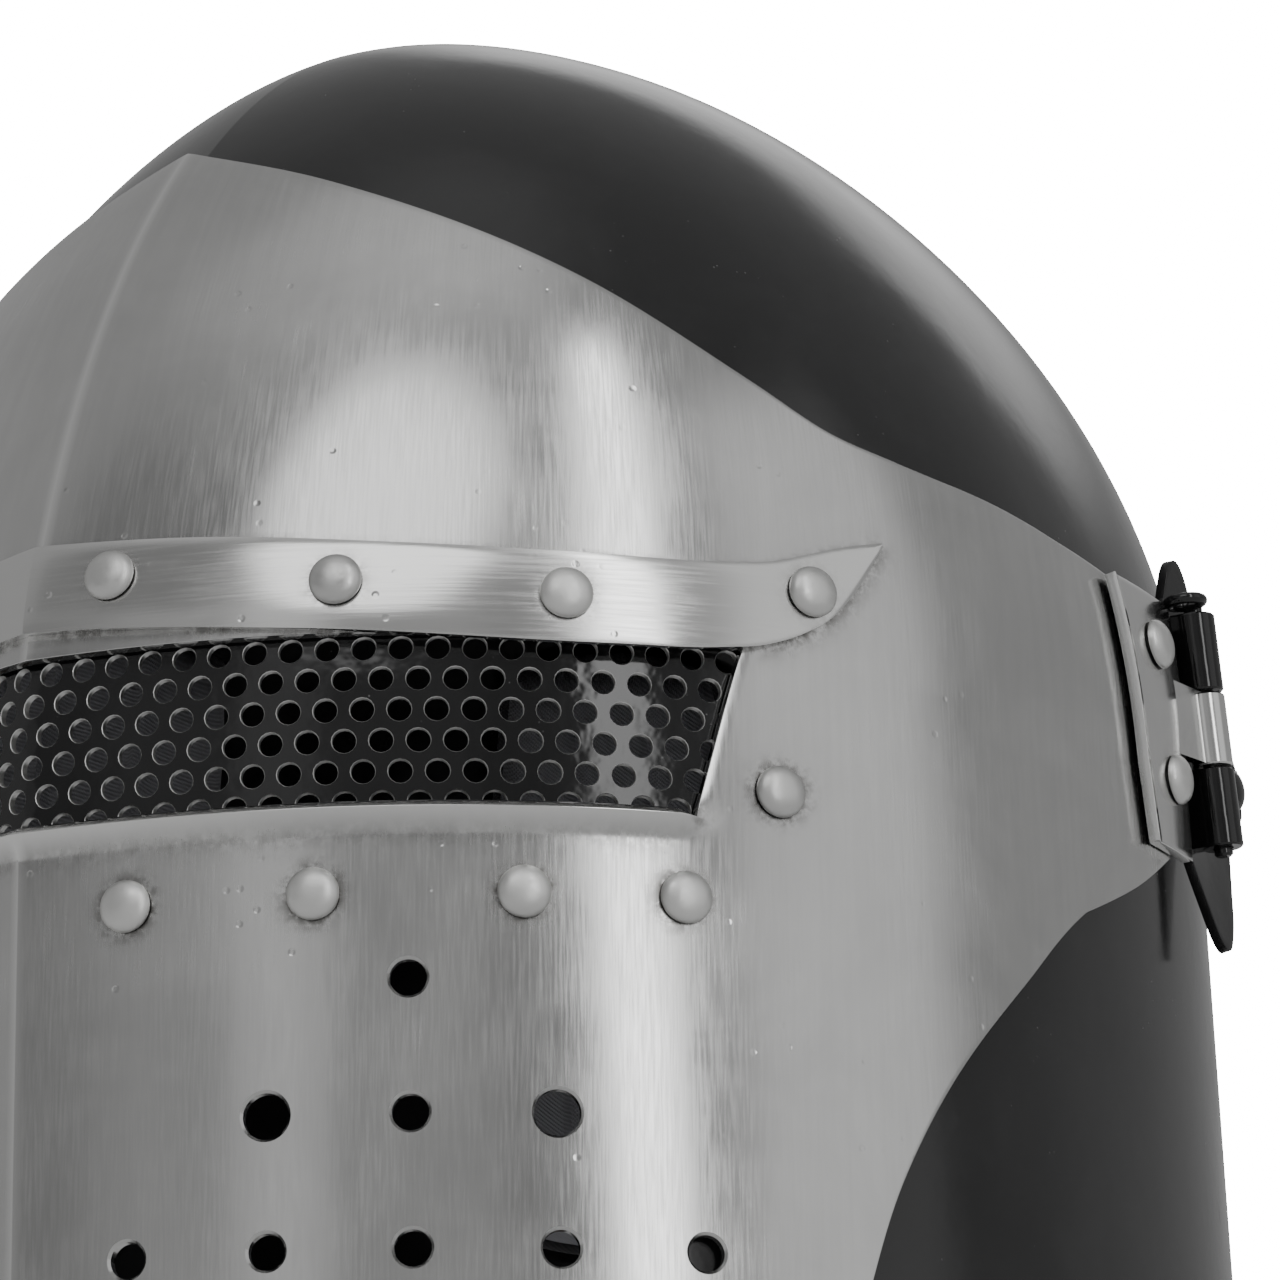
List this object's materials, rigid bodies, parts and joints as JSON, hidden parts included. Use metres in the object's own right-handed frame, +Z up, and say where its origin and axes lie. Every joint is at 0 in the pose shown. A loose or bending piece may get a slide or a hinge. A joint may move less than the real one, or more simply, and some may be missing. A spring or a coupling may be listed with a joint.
{
  "type": "knight helmet",
  "caption": "Closed-face combat helmet: black domed skull with a keel, lifting steel mask with an eye slot, perforated plate, side hinges, padding and a buckled chin strap.",
  "frame": {"origin": "centre of the overall box at the height of the skull's rim", "axes": "+Z up through the crown, -Y the way the wearer faces, +X to the wearer's left"},
  "size_m": [0.25, 0.2789, 0.3046],
  "materials": {
    "black_paint": "gloss black enamel",
    "satin_steel": "satin, hand-brushed",
    "rivet_metal": "satin, peened",
    "blackened_steel": "gloss black",
    "plated_steel": "plated",
    "leather": "waxed, saddle-stitched",
    "padding": "covered foam"
  },
  "bodies": {
    "skull": {"skull_shell": "black_paint", "pivot_bolt_left": "blackened_steel", "pivot_bolt_right": "blackened_steel", "pivot_seat_left": "blackened_steel", "pivot_seat_right": "blackened_steel", "inner_seat_left": "blackened_steel", "inner_seat_right": "blackened_steel", "pivot_washer_left": "plated_steel", "pivot_washer_right": "plated_steel", "pivot_nut_left": "blackened_steel", "pivot_nut_right": "blackened_steel", "strap_rivet_left": "plated_steel", "strap_rivet_right": "plated_steel", "chin_strap_left": "leather", "chin_strap_right": "leather", "buckle_frame": "plated_steel", "brow_pad": "padding", "crown_pad": "padding", "nape_pad": "padding", "temple_pad_left": "padding", "temple_pad_right": "padding", "rear_pad_left": "padding", "rear_pad_right": "padding"},
    "mask": {"mask_plate": "satin_steel", "brow_band": "satin_steel", "eye_grille": "blackened_steel", "brow_rivet_1": "rivet_metal", "brow_rivet_2": "rivet_metal", "brow_rivet_3": "rivet_metal", "brow_rivet_4": "rivet_metal", "brow_rivet_5": "rivet_metal", "brow_rivet_6": "rivet_metal", "brow_rivet_7": "rivet_metal", "brow_rivet_8": "rivet_metal", "lower_rivet_1": "rivet_metal", "lower_rivet_2": "rivet_metal", "lower_rivet_3": "rivet_metal", "lower_rivet_4": "rivet_metal", "lower_rivet_5": "rivet_metal", "lower_rivet_6": "rivet_metal", "lower_rivet_7": "rivet_metal", "lower_rivet_8": "rivet_metal", "side_rivet_left": "rivet_metal", "side_rivet_right": "rivet_metal", "hinge_leaf_left": "satin_steel", "hinge_leaf_right": "satin_steel", "leaf_rivet_left_upper": "rivet_metal", "leaf_rivet_left_lower": "rivet_metal", "leaf_rivet_right_upper": "rivet_metal", "leaf_rivet_right_lower": "rivet_metal", "pivot_arm_left": "blackened_steel", "pivot_arm_right": "blackened_steel"},
    "pin_left": {"hinge_pin_left": "blackened_steel"},
    "pin_right": {"hinge_pin_right": "blackened_steel"},
    "prong": {"buckle_prong": "plated_steel"}
  },
  "joints": [
    {"name": "mask_lift", "type": "hinge", "parent": "skull", "child": "mask", "pos_m": [0, 0.055, 0.164], "axis": [-1, 0, 0], "range_deg": [0, 80]},
    {"name": "pin_left_pull", "type": "slide", "parent": "mask", "child": "pin_left", "axis": [-0.0696, -0.0746, 0.9948], "range_m": [0, 0.05]},
    {"name": "pin_right_pull", "type": "slide", "parent": "mask", "child": "pin_right", "axis": [0.0696, -0.0746, 0.9948], "range_m": [0, 0.05]},
    {"name": "prong_turn", "type": "hinge", "parent": "skull", "child": "prong", "pos_m": [0.07969, -0.04935, 0.07626], "axis": [0, -0.9063, 0.4226], "range_deg": [0, 45]}
  ]
}
